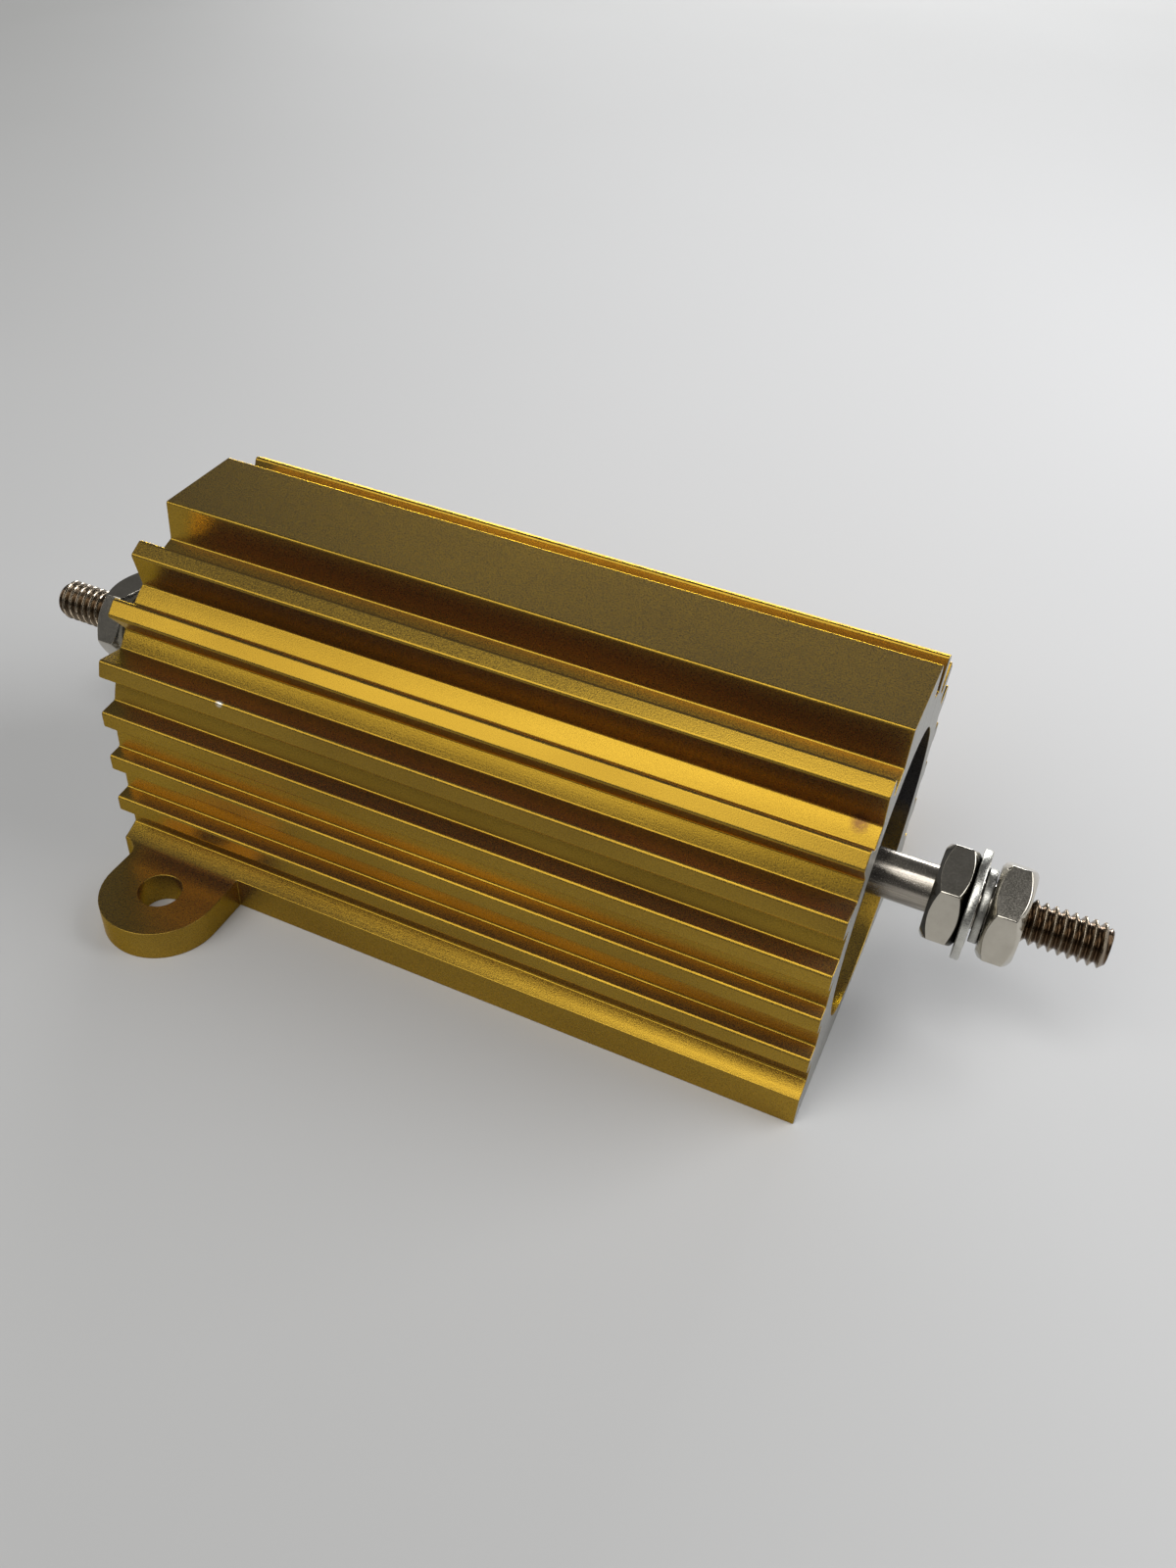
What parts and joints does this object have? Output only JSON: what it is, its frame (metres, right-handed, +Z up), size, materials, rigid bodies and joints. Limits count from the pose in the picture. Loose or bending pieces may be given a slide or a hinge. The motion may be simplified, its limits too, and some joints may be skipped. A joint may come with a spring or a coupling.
{
  "type": "aluminium housed power resistor",
  "caption": "Wirewound power resistor potted in a finned gold-anodised aluminium extrusion, with mounting ears and threaded terminal studs carrying nuts and washers.",
  "frame": {"origin": "middle of the housing on the plane of its mounting face", "axes": "+X along the housing and the terminal studs, +Y across it, +Z up away from the mounting face"},
  "size_m": [0.1396, 0.0726, 0.0432],
  "materials": {
    "gold_anodised_aluminium": "gold anodised extrusion, matt, with bare machined ends",
    "potting_compound": "dark grey silicone moulding compound",
    "ceramic": "opaque unglazed white ceramic",
    "resistance_wire": "oxidised resistance wire in a thin cement coat",
    "steel_cap": "pressed stainless steel",
    "stud_steel": "dull tin-plated steel, brownish in the threads",
    "nickel_plate": "nickel plated, polished flats",
    "washer_plate": "nickel plated, satin",
    "spring_steel": "plated spring steel"
  },
  "bodies": {
    "root": {"housing": "gold_anodised_aluminium", "moulding_compound": "potting_compound", "ceramic_core": "ceramic", "resistance_winding": "resistance_wire", "end_cap_left": "steel_cap", "end_cap_right": "steel_cap", "terminal_stud_left": "stud_steel", "terminal_stud_right": "stud_steel", "inner_nut_left": "nickel_plate", "inner_nut_right": "nickel_plate", "flat_washer_left": "washer_plate", "flat_washer_right": "washer_plate", "lock_washer_left": "spring_steel", "lock_washer_right": "spring_steel", "outer_nut_left": "nickel_plate", "outer_nut_right": "nickel_plate"}
  },
  "joints": []
}
